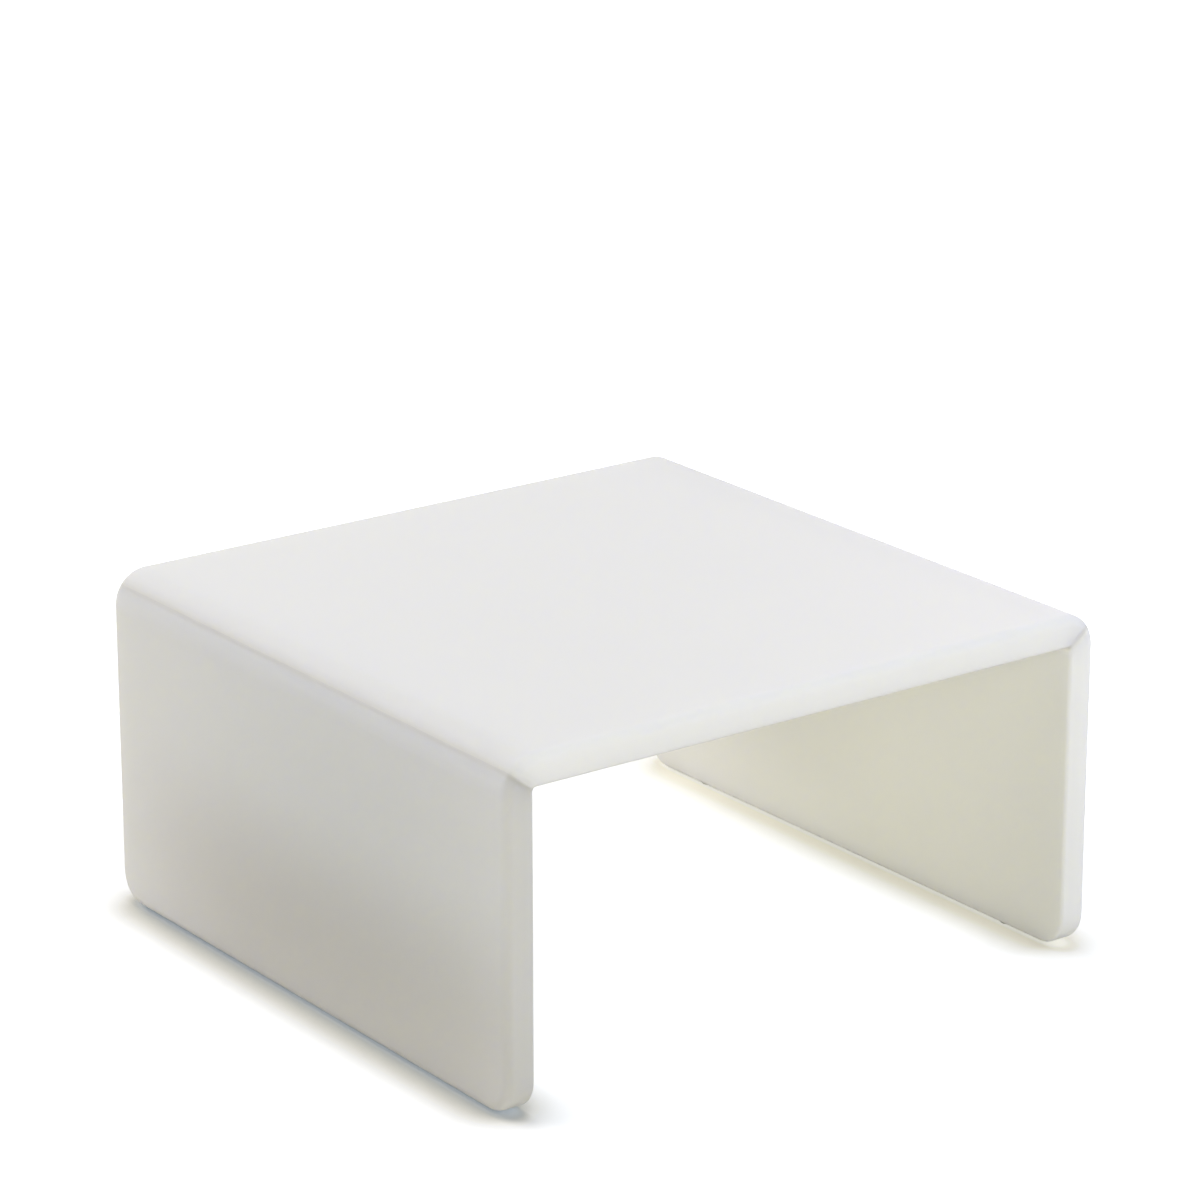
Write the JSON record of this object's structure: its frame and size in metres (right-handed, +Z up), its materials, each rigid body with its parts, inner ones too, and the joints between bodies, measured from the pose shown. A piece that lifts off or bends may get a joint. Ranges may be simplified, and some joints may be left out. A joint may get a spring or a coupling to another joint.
{
  "type": "buffet display riser",
  "caption": "Bridge-shaped buffet riser: a flat square top carried by solid side panels, mitred at the corners, rounded on every edge and open front and back.",
  "frame": {"origin": "centre of the base, on the surface that the riser stands on", "axes": "+Z up; +X across the two side panels, to the right seen from the open front; +Y from the open front to the open rear"},
  "size_m": [0.305, 0.292, 0.1525],
  "materials": {
    "sheet": "satin opal white, slightly translucent, warm where light comes through",
    "bond": "satin, colour-matched adhesive line, a shade darker than the sheet",
    "pad": "clear grey elastomer"
  },
  "bodies": {
    "root": {"top_panel": "sheet", "left_side_panel": "sheet", "right_side_panel": "sheet", "left_mitre_bond": "bond", "right_mitre_bond": "bond", "front_left_foot_pad": "pad", "front_right_foot_pad": "pad", "rear_left_foot_pad": "pad", "rear_right_foot_pad": "pad"}
  },
  "joints": []
}
